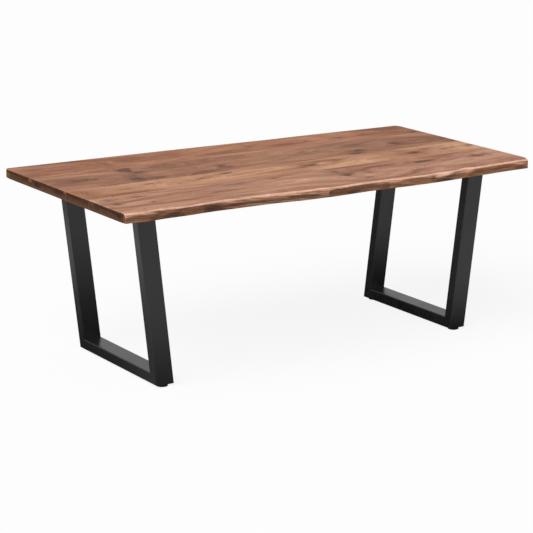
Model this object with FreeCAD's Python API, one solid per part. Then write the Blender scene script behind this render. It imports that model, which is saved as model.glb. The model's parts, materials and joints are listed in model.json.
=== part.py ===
import FreeCAD, Part
import math
import os

# Garden table: a live-edge top of four glued boards on two leaning steel frames.
# Lengths are millimetres. +X runs along the table, +Y to its rear, +Z up.
# The origin is on the floor under the middle of the top.

# Table
table_height = 760.0
top_length = 1965.0
top_thickness = 38.0

# Boards, from the rear live edge to the furthest swell of the front live edge
rear_board_width = 265.0
rear_inner_board_width = 270.0
front_inner_board_width = 185.0
front_board_width = 313.0
end_easing = 1.5
rear_corner_radius = 14.0
front_corner_radius = 36.0

# Front live edge: a shoulder that rolls off the top, a bevel, and a steeper face below it.
# The last two meet on a ridge that rises and falls. A slope is its run for each unit of depth.
front_edge_wander = 36.0
front_ridge_drop = 34.0
front_shoulder_depth = 4.0
front_shoulder_slope = 3.0
front_bevel_slope = 0.4
front_undercut = 3.0

# Rear live edge, almost straight and closing in towards the right-hand end
rear_edge_taper = 50.0
rear_edge_wander = 13.5
rear_ridge_drop = 12.0
rear_shoulder_depth = 3.0
rear_shoulder_slope = 2.5
rear_bevel_slope = 0.5
rear_undercut = 2.0

# Frames of flat tube, leaning outwards from the foot to the top, which overhangs them
tube_width = 80.0
tube_depth = 45.0
tube_wall = 2.0
tube_corner_radius = 4.0
frame_half_width = 312.0
frame_lean_out = 83.0
left_overhang = 143.0
right_overhang = 108.0

# Mounting plates, with slots that let the wood swell and shrink
plate_thickness = 6.0
plate_overhang = 60.0
plate_corner_radius = 8.0
slot_width = 9.0
slot_length = 22.0
screw_end_inset = 27.0
screw_seam_inset = 42.0

# Screws, washers and threaded inserts
screw_radius = 3.9
screw_length = 26.0
screw_head_radius = 7.0
screw_head_height = 4.4
screw_head_dome = 1.6
screw_socket_across_flats = 5.0
screw_socket_depth = 2.5
washer_radius = 10.0
washer_thickness = 1.6
insert_radius = 6.0
insert_length = 18.0
insert_bore_radius = 4.1
insert_bore_depth = 24.0
insert_flange_radius = 8.0
insert_flange_thickness = 1.0

# Levelling feet, drawn fully screwed in, with thread for their travel
foot_inset = 26.0
foot_travel = 12.0
sole_radius = 19.0
sole_thickness = 2.5
sole_recess = 1.0
pad_radius = 23.0
pad_height = 6.0
pad_chamfer = 1.5
pad_socket_radius = 7.3
pad_socket_height = 3.2
pad_lip = 1.2
stud_thread_radius = 3.6
stud_spare_thread = 2.0
stud_head_radius = 6.8
stud_collar_across_flats = 13.0
stud_collar_height = 2.2
nut_radius = 5.5
nut_length = 15.0
nut_bore_radius = 3.9
nut_flange_radius = 8.0
nut_flange_thickness = 1.0

# Clearances
fit_gap = 0.1
running_gap = 0.3
cut_overrun = 5.0

# Front edge, as shares of the length, of the wander and of the ridge's deepest drop
front_edge_shares = (
    (0.000, 0.97, 0.21), (0.028, 0.81, 0.38), (0.056, 0.69, 0.68), (0.078, 0.82, 1.00),
    (0.102, 0.84, 0.50), (0.131, 0.82, 0.21), (0.162, 0.88, 0.18), (0.188, 0.97, 0.29),
    (0.208, 0.98, 0.50), (0.223, 0.94, 0.82), (0.237, 0.92, 0.50), (0.287, 0.87, 0.44),
    (0.336, 0.76, 0.44), (0.384, 0.43, 0.56), (0.420, 0.25, 0.76), (0.447, 0.21, 0.97),
    (0.466, 0.16, 0.44), (0.483, 0.16, 0.26), (0.534, 0.24, 0.29), (0.570, 0.29, 0.21),
    (0.598, 0.21, 0.35), (0.617, 0.17, 0.53), (0.655, 0.07, 0.21), (0.706, 0.01, 0.12),
    (0.733, 0.00, 0.50), (0.751, 0.03, 0.65), (0.766, 0.06, 0.24), (0.786, 0.13, 0.29),
    (0.817, 0.30, 0.94), (0.835, 0.35, 0.26), (0.868, 0.41, 0.15), (0.921, 0.57, 0.26),
    (0.957, 0.60, 0.50), (1.000, 0.60, 0.71),
)

# Rear edge, in the same order
rear_edge_shares = (
    (0.00, 0.00, 0.60), (0.12, 0.07, 0.40), (0.26, 0.00, 0.75), (0.39, 0.15, 0.50),
    (0.52, 0.19, 0.90), (0.65, 0.74, 0.55), (0.78, 0.64, 0.35), (0.91, 0.87, 0.80),
    (1.00, 1.00, 0.60),
)

# Heights and places that follow from the sizes above
top_width = rear_board_width + rear_inner_board_width + front_inner_board_width + front_board_width
rear_edge_y = top_width / 2
rear_seam_y = rear_edge_y - rear_board_width
middle_seam_y = rear_seam_y - rear_inner_board_width
front_seam_y = middle_seam_y - front_inner_board_width
front_edge_y = front_seam_y - front_board_width
underside_z = table_height - top_thickness
plate_z = underside_z - plate_thickness
pad_z = sole_thickness - sole_recess
pad_top_z = pad_z + pad_height
collar_z = pad_top_z + running_gap
nut_flange_z = collar_z + stud_collar_height
frame_foot_z = nut_flange_z + nut_flange_thickness
lean = frame_lean_out / (underside_z - frame_foot_z)
foot_y = frame_half_width - foot_inset
plate_half_length = frame_half_width + plate_overhang
stud_thread_length = foot_travel + nut_length + stud_spare_thread


def box_between(low, high):
    """A box from its low corner to its high corner."""
    size = high - low
    return Part.makeBox(size.x, size.y, size.z, low)


def point(x, y, z):
    return FreeCAD.Vector(x, y, z)


def disc(radius, height, x, y, z):
    """An upright cylinder standing on the height z."""
    return Part.makeCylinder(radius, height, point(x, y, z))


def hexagon(across_flats, height, x, y, z):
    """An upright hexagonal prism standing on the height z."""
    reach = across_flats / math.sqrt(3.0)
    corners = []
    for turn in range(6):
        angle = math.radians(60.0 * turn)
        corners.append(point(x + reach * math.cos(angle), y + reach * math.sin(angle), z))
    return prism(corners, point(0, 0, height))


def prism(corners, direction):
    """A solid swept from a closed outline of corners along one direction."""
    outline = Part.makePolygon(corners + [corners[0]])
    return Part.Face(outline).extrude(direction)


def edges_along(solid, direction):
    """The straight edges of a solid that run along one direction."""
    found = []
    for edge in solid.Edges:
        ends = [vertex.Point for vertex in edge.Vertexes]
        if len(ends) == 2 and isinstance(edge.Curve, Part.Line):
            if (ends[1] - ends[0]).cross(direction).Length < 1e-6 * direction.Length * edge.Length:
                found.append(edge)
    return found


# Boards of the top

def live_edge_cuts(base_y, taper, wander, drop, shoulder, slope, undercut, shares, outward):
    """What is sawn and planed away along one live edge, as three cuts.

    Each is a sloping sweep of the same wandering line: a shoulder that rolls off the top, a bevel,
    and a steeper face below it. The last two meet on the ridge, which lies at each place's own
    drop below the top. The shoulder is its depth and its slope.
    """
    stations = []
    beyond = cut_overrun / top_length
    for along, wander_share, drop_share in shares:
        if along == 0.0:
            along = -beyond
        if along == 1.0:
            along = 1.0 + beyond
        stations.append((along, wander_share, drop_share))

    def sweep(line_offset, run_per_depth):
        """The stock outside one line, swept downwards along its slope."""
        depth = top_thickness + 2 * cut_overrun
        top_z = table_height + cut_overrun
        line = []
        for along, wander_share, drop_share in stations:
            inward = taper * along + wander * wander_share + line_offset(drop_share)
            inward += run_per_depth * cut_overrun
            line.append(point((along - 0.5) * top_length, base_y - outward * inward, top_z))
        spline = Part.BSplineCurve()
        spline.interpolate(line)
        far_y = base_y + outward * (top_thickness + cut_overrun)
        start, end = line[0], line[-1]
        rim = Part.makePolygon([end, point(end.x, far_y, top_z), point(start.x, far_y, top_z), start])
        outline = Part.Wire([spline.toShape()] + rim.Edges)
        return Part.Face(outline).extrude(point(0, outward * run_per_depth * depth, -depth))

    shoulder_depth, shoulder_slope = shoulder
    roll = (shoulder_slope - slope) * shoulder_depth
    rolled = sweep(lambda drop_share: slope * drop * drop_share + roll, shoulder_slope)
    bevel = sweep(lambda drop_share: slope * drop * drop_share, slope)
    face = sweep(lambda drop_share: 0.0, -undercut / top_thickness)
    return (face, bevel, rolled)


def front_edge_cuts():
    shoulder = (front_shoulder_depth, front_shoulder_slope)
    return live_edge_cuts(front_edge_y, 0.0, front_edge_wander, front_ridge_drop, shoulder,
                          front_bevel_slope, front_undercut, front_edge_shares, -1)


def rear_edge_cuts():
    shoulder = (rear_shoulder_depth, rear_shoulder_slope)
    return live_edge_cuts(rear_edge_y, rear_edge_taper, rear_edge_wander, rear_ridge_drop, shoulder,
                          rear_bevel_slope, rear_undercut, rear_edge_shares, 1)


def board(low_y, high_y):
    """A plank across the whole length, its sawn ends eased along the top and the underside."""
    low = point(-top_length / 2, low_y, underside_z)
    plank = box_between(low, point(top_length / 2, high_y, table_height))
    plank = plank.makeChamfer(end_easing, edges_along(plank, point(0, 1, 0)))
    for row in screw_rows():
        if low_y < row < high_y:
            for side in (-1, 1):
                bore = disc(insert_radius, insert_bore_depth, plate_x(side), row, underside_z)
                seat = disc(insert_flange_radius, insert_flange_thickness, plate_x(side), row, underside_z)
                plank = plank.cut(bore.fuse(seat))
    return plank


def corner_cutter(side, outward, edge_y, radius):
    """What is taken off to round the upright corner where a live edge meets a sawn end."""
    height = top_thickness + 2 * cut_overrun
    low_z = underside_z - cut_overrun
    end_x = side * top_length / 2
    axis_x = end_x - side * radius
    axis_y = edge_y - outward * radius
    xs = (axis_x, end_x + side * cut_overrun)
    ys = (axis_y, edge_y + outward * cut_overrun)
    block = box_between(point(min(xs), min(ys), low_z), point(max(xs), max(ys), low_z + height))
    return block.cut(disc(radius, height, axis_x, axis_y, low_z))


def front_board():
    plank = board(front_edge_y - cut_overrun, front_seam_y)
    for cut in front_edge_cuts():
        plank = plank.cut(cut)
    corner_y = front_edge_y + front_edge_wander * front_edge_shares[-1][1]
    return plank.cut(corner_cutter(1, -1, corner_y, front_corner_radius))


def rear_board():
    plank = board(rear_seam_y, rear_edge_y + cut_overrun)
    for cut in rear_edge_cuts():
        plank = plank.cut(cut)
    corner_y = rear_edge_y - rear_edge_wander * rear_edge_shares[0][1]
    return plank.cut(corner_cutter(-1, 1, corner_y, rear_corner_radius))


# Steel frames

def screw_rows():
    """Where the screws stand across the table, so that each board has its own."""
    outer = plate_half_length - screw_end_inset
    return (
        -outer,
        front_seam_y - screw_seam_inset,
        (front_seam_y + middle_seam_y) / 2,
        middle_seam_y + rear_inner_board_width / 4,
        rear_seam_y - rear_inner_board_width / 4,
        outer,
    )


def lean_at(z):
    """How far out the frame has leant at a height."""
    return lean * (z - frame_foot_z)


def frame_reach(side):
    """How far a frame's outer face stands from the middle of the table, at the floor end."""
    overhang = right_overhang if side > 0 else left_overhang
    return top_length / 2 - overhang - frame_lean_out


def foot_x(side):
    return side * (frame_reach(side) - tube_width / 2)


def plate_x(side):
    return side * (frame_reach(side) + lean_at(plate_z) - tube_width / 2)


def post_stock(side, end, wall):
    """A leaning post from floor line to plate: its outside, or its bore where a wall is given."""
    across = wall * math.hypot(1.0, lean)
    out_x = side * (frame_reach(side) - across)
    in_x = side * (frame_reach(side) - tube_width + across)
    out_y = end * (frame_half_width - wall)
    in_y = end * (frame_half_width - tube_depth + wall)
    z = frame_foot_z
    height = plate_z - z
    corners = [point(out_x, out_y, z), point(in_x, out_y, z), point(in_x, in_y, z), point(out_x, in_y, z)]
    path = point(side * lean * height, 0, height)
    stock = prism(corners, path)
    return stock.makeFillet(tube_corner_radius - wall, edges_along(stock, path))


def bar_stock(side, wall):
    """The bottom bar between the frame's outer ends, its sides leaning with the posts."""
    across = wall * math.hypot(1.0, lean)
    low_z = frame_foot_z + wall
    high_z = frame_foot_z + tube_depth - wall
    corners = []
    for z, reach in ((low_z, -across), (low_z, across - tube_width),
                     (high_z, across - tube_width), (high_z, -across)):
        corners.append(point(side * (frame_reach(side) + lean_at(z) + reach), -frame_half_width, z))
    path = point(0, 2 * frame_half_width, 0)
    stock = prism(corners, path)
    return stock.makeFillet(tube_corner_radius - wall, edges_along(stock, path))


def mitre_wedge(side, end, above):
    """The stock on one side of the mitre at a bottom corner of a frame: above it or below it."""
    low_y = end * (frame_half_width + cut_overrun)
    tip_y = end * (frame_half_width - tube_depth - cut_overrun)
    low_z = frame_foot_z - cut_overrun
    tip_z = frame_foot_z + tube_depth + cut_overrun
    x = side * (frame_reach(side) - 2 * tube_width)
    third = point(x, low_y, tip_z) if above else point(x, tip_y, low_z)
    corners = [point(x, low_y, low_z), point(x, tip_y, tip_z), third]
    return prism(corners, point(side * 3 * tube_width, 0, 0))


def post(side, end):
    tube = post_stock(side, end, 0.0).cut(post_stock(side, end, tube_wall))
    return tube.cut(mitre_wedge(side, end, above=False))


def bottom_bar(side):
    """The bar, mitred at both ends, with a hole for each foot's nut in its bottom wall."""
    tube = bar_stock(side, 0.0).cut(bar_stock(side, tube_wall))
    for end in (-1, 1):
        tube = tube.cut(mitre_wedge(side, end, above=True))
        hole_z = frame_foot_z - tube_wall / 2
        tube = tube.cut(disc(nut_radius + fit_gap, 2 * tube_wall, foot_x(side), end * foot_y, hole_z))
    return tube


def mounting_plate(side):
    """Flat steel across the posts, with one slot for each screw."""
    low = point(plate_x(side) - tube_width / 2, -plate_half_length, plate_z)
    plate = box_between(low, point(plate_x(side) + tube_width / 2, plate_half_length, underside_z))
    plate = plate.makeFillet(plate_corner_radius, edges_along(plate, point(0, 0, 1)))
    for row in screw_rows():
        straight = (slot_length - slot_width) / 2
        slot = box_between(point(plate_x(side) - slot_width / 2, row - straight, plate_z),
                           point(plate_x(side) + slot_width / 2, row + straight, underside_z))
        for end in (-1, 1):
            slot = slot.fuse(disc(slot_width / 2, plate_thickness, plate_x(side),
                                  row + end * straight, plate_z))
        plate = plate.cut(slot)
    return plate


# Fastenings of the top

def screw(x, y):
    """A button-head screw, driven from below."""
    seat_z = plate_z - washer_thickness
    head = disc(screw_head_radius, screw_head_height, x, y, seat_z - screw_head_height)
    rim = []
    for edge in head.Edges:
        if abs(edge.BoundBox.ZMax - (seat_z - screw_head_height)) < fit_gap:
            rim.append(edge)
    head = head.makeFillet(screw_head_dome, rim)
    socket = hexagon(screw_socket_across_flats, screw_socket_depth, x, y, seat_z - screw_head_height)
    return head.cut(socket).fuse(disc(screw_radius, screw_length, x, y, seat_z))


def washer(x, y):
    ring = disc(washer_radius, washer_thickness, x, y, plate_z - washer_thickness)
    return ring.cut(disc(insert_bore_radius, washer_thickness, x, y, plate_z - washer_thickness))


def threaded_insert(x, y):
    """A flanged sleeve set flush in the underside of a board."""
    sleeve = disc(insert_radius - fit_gap, insert_length, x, y, underside_z)
    flange = disc(insert_flange_radius - fit_gap, insert_flange_thickness, x, y, underside_z)
    return sleeve.fuse(flange).cut(disc(insert_bore_radius, insert_length, x, y, underside_z))


def one_per_row(make, side):
    """The same fastener at each screw place under one frame."""
    return Part.makeCompound([make(plate_x(side), row) for row in screw_rows()])


# Levelling feet

def rivet_nut(x, y):
    """A threaded nut pulled up into the bottom wall of the bar."""
    body = disc(nut_radius, nut_length, x, y, nut_flange_z)
    flange = disc(nut_flange_radius, nut_flange_thickness, x, y, nut_flange_z)
    return body.fuse(flange).cut(disc(nut_bore_radius, nut_length, x, y, nut_flange_z))


def foot_sole(x, y):
    return disc(sole_radius, sole_thickness, x, y, 0.0)


def foot_pad(x, y):
    """The round base, with a recess for the sole and a socket that lets the stud turn."""
    pad = disc(pad_radius, pad_height, x, y, pad_z)
    top_rim = []
    for edge in pad.Edges:
        if abs(edge.BoundBox.ZMin - pad_top_z) < fit_gap:
            top_rim.append(edge)
    pad = pad.makeChamfer(pad_chamfer, top_rim)
    pad = pad.cut(disc(sole_radius, sole_recess, x, y, pad_z))
    socket_z = pad_top_z - pad_lip - pad_socket_height
    pad = pad.cut(disc(pad_socket_radius, pad_socket_height, x, y, socket_z))
    return pad.cut(disc(stud_thread_radius + running_gap, pad_lip, x, y, pad_top_z - pad_lip))


def foot_stud(x, y):
    """A threaded stud: its head in the pad, a hexagon for the spanner, then the thread."""
    head_z = pad_top_z - pad_lip - pad_socket_height + running_gap
    head = disc(stud_head_radius, pad_socket_height - 2 * running_gap, x, y, head_z)
    thread_top_z = collar_z + stud_collar_height + stud_thread_length
    neck = disc(stud_thread_radius, thread_top_z - head_z, x, y, head_z)
    collar = hexagon(stud_collar_across_flats, stud_collar_height, x, y, collar_z)
    return head.fuse(neck).fuse(collar)


def save(name, shape):
    """One sub-part in its own file, with its volume shown."""
    if shape.ShapeType != "Compound" or len(shape.Solids) == 1:
        shape = shape.removeSplitter()
        shape = shape.Solids[0]
    shape.exportStep("parts/" + name + ".step")
    print(name, len(shape.Solids), "solid(s)", round(shape.Volume / 1000.0, 2), "cm3", shape.isValid())


os.makedirs("parts", exist_ok=True)
save("rear_board", rear_board())
save("rear_inner_board", board(middle_seam_y, rear_seam_y))
save("front_inner_board", board(front_seam_y, middle_seam_y))
save("front_board", front_board())
for side, hand in ((-1, "left"), (1, "right")):
    save(hand + "_bottom_bar", bottom_bar(side))
    save(hand + "_mounting_plate", mounting_plate(side))
    save(hand + "_screws", one_per_row(screw, side))
    save(hand + "_washers", one_per_row(washer, side))
    save(hand + "_threaded_inserts", one_per_row(threaded_insert, side))
    for end, place in ((-1, "front"), (1, "rear")):
        corner = hand + "_" + place
        save(corner + "_post", post(side, end))
        save(corner + "_rivet_nut", rivet_nut(foot_x(side), end * foot_y))
        save(corner + "_foot_stud", foot_stud(foot_x(side), end * foot_y))
        save(corner + "_foot_pad", foot_pad(foot_x(side), end * foot_y))
        save(corner + "_foot_sole", foot_sole(foot_x(side), end * foot_y))
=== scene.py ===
# %% [markdown]
# Garden table: a live-edge top of four glued hardwood boards on two leaning black steel frames.
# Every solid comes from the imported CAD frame. This script gives each of them its finish. It also
# builds the two live-edge boards again, with the worn hollows and soft corners of hand-worked wood.

# %% Load the CAD frame
import json
import math

import bpy
from mathutils import Euler, Matrix, Vector, noise as field
from mathutils.bvhtree import BVHTree


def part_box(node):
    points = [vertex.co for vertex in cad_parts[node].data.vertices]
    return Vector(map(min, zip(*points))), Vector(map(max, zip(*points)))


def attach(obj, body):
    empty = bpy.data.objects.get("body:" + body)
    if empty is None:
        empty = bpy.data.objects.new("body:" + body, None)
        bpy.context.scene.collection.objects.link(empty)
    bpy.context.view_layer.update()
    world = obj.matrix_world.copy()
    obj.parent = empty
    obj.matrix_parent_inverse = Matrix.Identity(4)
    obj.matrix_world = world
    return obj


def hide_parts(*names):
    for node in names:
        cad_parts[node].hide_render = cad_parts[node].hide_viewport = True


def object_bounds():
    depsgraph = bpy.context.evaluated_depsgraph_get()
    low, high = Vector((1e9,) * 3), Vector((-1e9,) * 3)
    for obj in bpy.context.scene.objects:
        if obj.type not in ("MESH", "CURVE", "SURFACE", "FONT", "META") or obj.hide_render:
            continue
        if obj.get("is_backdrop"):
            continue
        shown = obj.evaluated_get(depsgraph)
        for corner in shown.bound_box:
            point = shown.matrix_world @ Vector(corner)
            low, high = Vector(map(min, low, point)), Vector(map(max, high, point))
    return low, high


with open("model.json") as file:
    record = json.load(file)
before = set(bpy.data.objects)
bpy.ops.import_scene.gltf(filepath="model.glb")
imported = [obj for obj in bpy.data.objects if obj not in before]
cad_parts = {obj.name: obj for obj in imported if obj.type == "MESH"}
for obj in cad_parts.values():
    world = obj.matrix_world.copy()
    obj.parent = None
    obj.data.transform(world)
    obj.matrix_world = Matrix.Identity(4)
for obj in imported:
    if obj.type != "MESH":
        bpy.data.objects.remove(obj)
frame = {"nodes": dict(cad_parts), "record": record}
cad_low, cad_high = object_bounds()
nodes = frame["nodes"]
print("CAD box", [round(v, 4) for v in cad_low], [round(v, 4) for v in cad_high])

# %% [markdown]
# The photograph shows the table from its front left, a little above the top, through a long lens
# that keeps the edges nearly parallel. A camera can be aimed by hand or worked out from edges of
# known size. It was worked out from such edges, so the table's corners land where the photograph
# has them, and its values are given here.

# %% Camera
camera_place = Vector((-4.3285, -6.3857, 2.324))
camera_turn, camera_tilt, camera_roll = 33.92, 14.56, 0.38
lens_length = 128.02

lens = bpy.data.cameras.new("Camera")
lens.sensor_width = 36.0
lens.lens = lens_length
lens.clip_end = 200.0
camera = bpy.data.objects.new("Camera", lens)
aim = (Euler((0, 0, -math.radians(camera_turn))).to_matrix()
       @ Euler((math.radians(90 - camera_tilt), 0, 0)).to_matrix()
       @ Euler((0, 0, math.radians(camera_roll))).to_matrix())
camera.matrix_world = Matrix.Translation(camera_place) @ aim.to_4x4()
bpy.context.scene.collection.objects.link(camera)
bpy.context.scene.camera = camera
bpy.context.scene.view_settings.view_transform = "Standard"
print("camera at", [round(v, 2) for v in camera_place], "lens", lens_length, "mm")

# %% [markdown]
# Shader nodes are written in code many times over, so short helpers keep the recipes readable. Most
# add a node, fill its sockets with numbers or with other nodes' outputs, and return its output.

# %% Node helpers


def add_node(tree, kind, sockets=None, **settings):
    """Adds a shader node. Sockets are named or numbered, and take values or other outputs."""
    made = tree.nodes.new("ShaderNode" + kind)
    for name, value in settings.items():
        setattr(made, name, value)
    for name, value in (sockets or {}).items():
        if isinstance(value, bpy.types.NodeSocket):
            tree.links.new(value, made.inputs[name])
        else:
            made.inputs[name].default_value = value
    return made


def calc(tree, operation, first, second=0.0):
    """One sum of one or two numbers."""
    return add_node(tree, "Math", {0: first, 1: second}, operation=operation).outputs[0]


def plus(tree, first, second):
    return calc(tree, "ADD", first, second)


def minus(tree, first, second):
    return calc(tree, "SUBTRACT", first, second)


def times(tree, first, second):
    return calc(tree, "MULTIPLY", first, second)


def vector_calc(tree, operation, first, second):
    """A vector from two vectors."""
    return add_node(tree, "VectorMath", {0: first, 1: second}, operation=operation).outputs[0]


def vector_measure(tree, operation, first, second):
    """A number from two vectors, such as their distance."""
    return add_node(tree, "VectorMath", {0: first, 1: second}, operation=operation).outputs["Value"]


def axes_of(tree, place):
    """The three numbers of a place."""
    return add_node(tree, "SeparateXYZ", {0: place}).outputs


def place_from(tree, x, y, z=0.0):
    """A place from its numbers."""
    return add_node(tree, "CombineXYZ", {0: x, 1: y, 2: z}).outputs[0]


# %% Helpers that blend, stretch and scatter


def blend_colours(tree, share, first, second, how="MIX"):
    """From the first colour at share 0 to the second at share 1."""
    made = add_node(tree, "Mix", {0: share, 6: first, 7: second}, data_type="RGBA", blend_type=how)
    return made.outputs[2]


def rescale(tree, value, low, high, to_low=0.0, to_high=1.0, smooth=False):
    """Maps low..high to to_low..to_high and clamps the rest."""
    kind = "SMOOTHSTEP" if smooth else "LINEAR"
    sockets = {"Value": value, "From Min": low, "From Max": high, "To Min": to_low, "To Max": to_high}
    return add_node(tree, "MapRange", sockets, interpolation_type=kind).outputs[0]


def noise(tree, place, scale=1.0, detail=2.0, roughness=0.5):
    """Soft noise that varies about 0.5."""
    sockets = {"Vector": place, "Scale": scale, "Detail": detail, "Roughness": roughness}
    return add_node(tree, "TexNoise", sockets).outputs["Fac"]


# %% Helpers for colours and materials


def screen_colour(red, green, blue):
    """A colour as a screen shows it, 0 to 255, turned into the linear values that shaders use."""
    levels = []
    for level in (red, green, blue):
        share = level / 255
        levels.append(share / 12.92 if share <= 0.04045 else ((share + 0.055) / 1.055) ** 2.4)
    return (*levels, 1.0)


def colour_pairs(**kinds):
    """Two linear colours for each kind of mark: its core's and that of the stain round it."""
    return {kind: [screen_colour(*shown) for shown in pair] for kind, pair in kinds.items()}


def grey(tree, level):
    """The same level in red, green and blue."""
    return add_node(tree, "CombineColor", {0: level, 1: level, 2: level}).outputs[0]


def start_material(name):
    """A material with an empty node tree."""
    made = bpy.data.materials.new(name)
    made.use_nodes = True
    made.node_tree.nodes.clear()
    return made, made.node_tree


# %% Helpers for node groups


def start_group(name, inputs, outputs):
    """A node group with named sockets, and its input and output nodes."""
    group = bpy.data.node_groups.new(name, "ShaderNodeTree")
    for side, sockets in (("INPUT", inputs), ("OUTPUT", outputs)):
        for socket, kind in sockets:
            group.interface.new_socket(name=socket, in_out=side, socket_type="NodeSocket" + kind)
    return group, group.nodes.new("NodeGroupInput").outputs, group.nodes.new("NodeGroupOutput")


def give(group, given, **values):
    """Links what a group puts out."""
    for name, value in values.items():
        group.links.new(value, given.inputs[name])


def use_group(tree, group, **sockets):
    """Places a group in a material. Underscores in the names stand for spaces."""
    placed = tree.nodes.new("ShaderNodeGroup")
    placed.node_tree = group
    for name, value in sockets.items():
        socket = placed.inputs[name.replace("_", " ")]
        if isinstance(value, bpy.types.NodeSocket):
            tree.links.new(value, socket)
        else:
            socket.default_value = value
    return placed.outputs


# %% [markdown]
# The floor is plain and pale. To the camera it is mostly its own white glow with a little of the
# light that falls on it, so it stays nearly white and still takes the table's soft shadow. The
# steel's reflections see it with painted shade and painted light: dim round and behind the table
# and bright towards the lamp, as a lit studio floor would look. To other rays it is a middle grey,
# which keeps it from flooding the underside with light.

# %% Levels for each kind of ray


def by_ray(tree, others, mirrored, camera_level):
    """One level for the camera, one for rays that mirror or pass through something, one for the rest."""
    path = add_node(tree, "LightPath").outputs
    through = calc(tree, "MAXIMUM", path["Is Glossy Ray"], path["Is Transmission Ray"])
    level = rescale(tree, through, 0, 1, others, mirrored)
    return plus(tree, times(tree, path["Is Camera Ray"], camera_level),
                times(tree, minus(tree, 1.0, path["Is Camera Ray"]), level))


# %% Floor
floor_half = 40.0
floor_bounce = 0.30
floor_lit_share, floor_glow = 0.10, 0.885
# Painted shade and painted light, seen only in reflections: dim round and behind the table, bright towards
# the lamp.
mirrored_near, mirrored_far = 0.08, 0.92
painted_shade_middle, painted_shade_reach, bright_reach = (0.15, 0.60, 0.0), 0.95, 1.95
lamp_side, dark_behind, bright_before = (-0.6, -0.8, 0.0), -0.95, -0.25

floor_mesh = bpy.data.meshes.new("Floor")
corners = [(x * floor_half, y * floor_half, 0) for x, y in ((-1, -1), (1, -1), (1, 1), (-1, 1))]
floor_mesh.from_pydata(corners, [], [(0, 1, 2, 3)])
floor = bpy.data.objects.new("Floor", floor_mesh)
bpy.context.scene.collection.objects.link(floor)
floor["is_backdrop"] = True

floor_finish, tree = start_material("Pale floor")
floor_place = add_node(tree, "TexCoord").outputs["Object"]
# Painted shade round the table and painted light towards the lamp, for reflecting rays only.
from_table = vector_measure(tree, "DISTANCE", floor_place, painted_shade_middle)
towards_lamp = vector_measure(tree, "DOT_PRODUCT", floor_place, lamp_side)
painted_light_and_shade = times(tree, rescale(tree, from_table, painted_shade_reach, bright_reach, smooth=True),
                   rescale(tree, towards_lamp, dark_behind, bright_before, smooth=True))
mirrored_share = rescale(tree, painted_light_and_shade, 0, 1, mirrored_near, mirrored_far)
reflected = by_ray(tree, floor_bounce, mirrored_share, floor_lit_share)
matt = add_node(tree, "BsdfDiffuse", {"Color": grey(tree, reflected)}).outputs[0]
glow = add_node(tree, "Emission", {"Strength": by_ray(tree, 0.0, 0.0, floor_glow)}).outputs[0]
both = add_node(tree, "AddShader", {0: matt, 1: glow}).outputs[0]
add_node(tree, "OutputMaterial", {"Surface": both})
floor_mesh.materials.append(floor_finish)
print("floor", 2 * floor_half, "m square")

# %% [markdown]
# Studio light for furniture is broad and soft. A sun with a very large disc stands high on the
# front left, like a big lamp seen through cloth, and lights the top evenly from end to end. It makes
# the top and the left-hand faces the brightest. The sky fills the rest, and is white to the camera.

# %% Sky and lamp
sky_level, mirrored_sky, camera_sky = 0.30, 0.90, 1.0
sky = bpy.data.worlds.new("Studio")
bpy.context.scene.world = sky
sky.use_nodes = True
tree = sky.node_tree
tree.nodes.clear()
level = by_ray(tree, sky_level, mirrored_sky, camera_sky)
add_node(tree, "OutputWorld", {"Surface": add_node(tree, "Background", {"Strength": level}).outputs[0]})

key_spread, key_strength = 50, 3.28
key_from = Vector((-0.85, -0.35, 0.95))
key = bpy.data.lights.new("Large soft key", "SUN")
key.angle = math.radians(key_spread)
key.energy = key_strength
hung = bpy.data.objects.new("Large soft key", key)
hung.rotation_euler = key_from.to_track_quat("Z", "Y").to_euler()
bpy.context.scene.collection.objects.link(hung)

# %% [markdown]
# The two outer boards keep the tree's own edge, sanded but not straightened. A modifier could blur
# the frame's solid, but it would also soften its sawn ends. So each board is built again here as
# rings of points, one ring for each few millimetres of length. The rings stand closer together near
# the sawn ends, where the outer corner is rounded off.

# %% Ring stations along a board
ring_spacing = 0.005
corner_reach = 0.040
corner_rings = 14
end_easing = 0.0015
corner_radii = {"front_live_edge_board": (0.006, 0.028), "rear_live_edge_board": (0.014, 0.010)}


def ring_stations(low_x, high_x):
    """Places along a board, closer together where its corners are rounded."""
    places = [low_x, low_x + end_easing]
    for step in range(1, corner_rings):
        places.append(low_x + end_easing + corner_reach * (step / corner_rings) ** 2)
    inner_low, inner_high = low_x + corner_reach, high_x - corner_reach
    count = round((inner_high - inner_low) / ring_spacing)
    places += [inner_low + (inner_high - inner_low) * step / count for step in range(1, count)]
    for step in range(corner_rings - 1, 0, -1):
        places.append(high_x - end_easing - corner_reach * (step / corner_rings) ** 2)
    return places + [high_x - end_easing, high_x]


def corner_inset(x, low_x, high_x, radii):
    """How far the outer corner is rounded off at a station, and the same as a share of its radius."""
    for from_end, radius in ((x - low_x, radii[0]), (high_x - x, radii[1])):
        if from_end < radius:
            inset = radius - math.sqrt(radius ** 2 - (radius - from_end) ** 2)
            return inset, inset / radius
    return 0.0, 0.0


print("rings", len(ring_stations(cad_low[0], cad_high[0])))

# %% [markdown]
# Under the bark a trunk is never smooth: shallow scoops, ripples, and the ridges of its fibres, which
# run a little downhill. Relief in a finish could shade them, but their outline would stay straight.
# So each ring follows the solid, as rays from outside measure it, and is then hollowed by noise
# drawn out along the grain, and rounded over at its shoulder.

# %% Hollows under the bark
board_thickness = 0.038
fade_in, fade_out = 0.12, 0.25
# Each row: half the depth, the length and height of one hollow, how far it runs on as it goes down,
# and its own place in the noise.
HOLLOWS = (
    (0.0016, 0.055, 0.030, 0.0, 0),
    (0.0007, 0.020, 0.007, 0.9, 5),
    (0.0005, 0.030, 0.0022, 2.2, 9),
)


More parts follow.
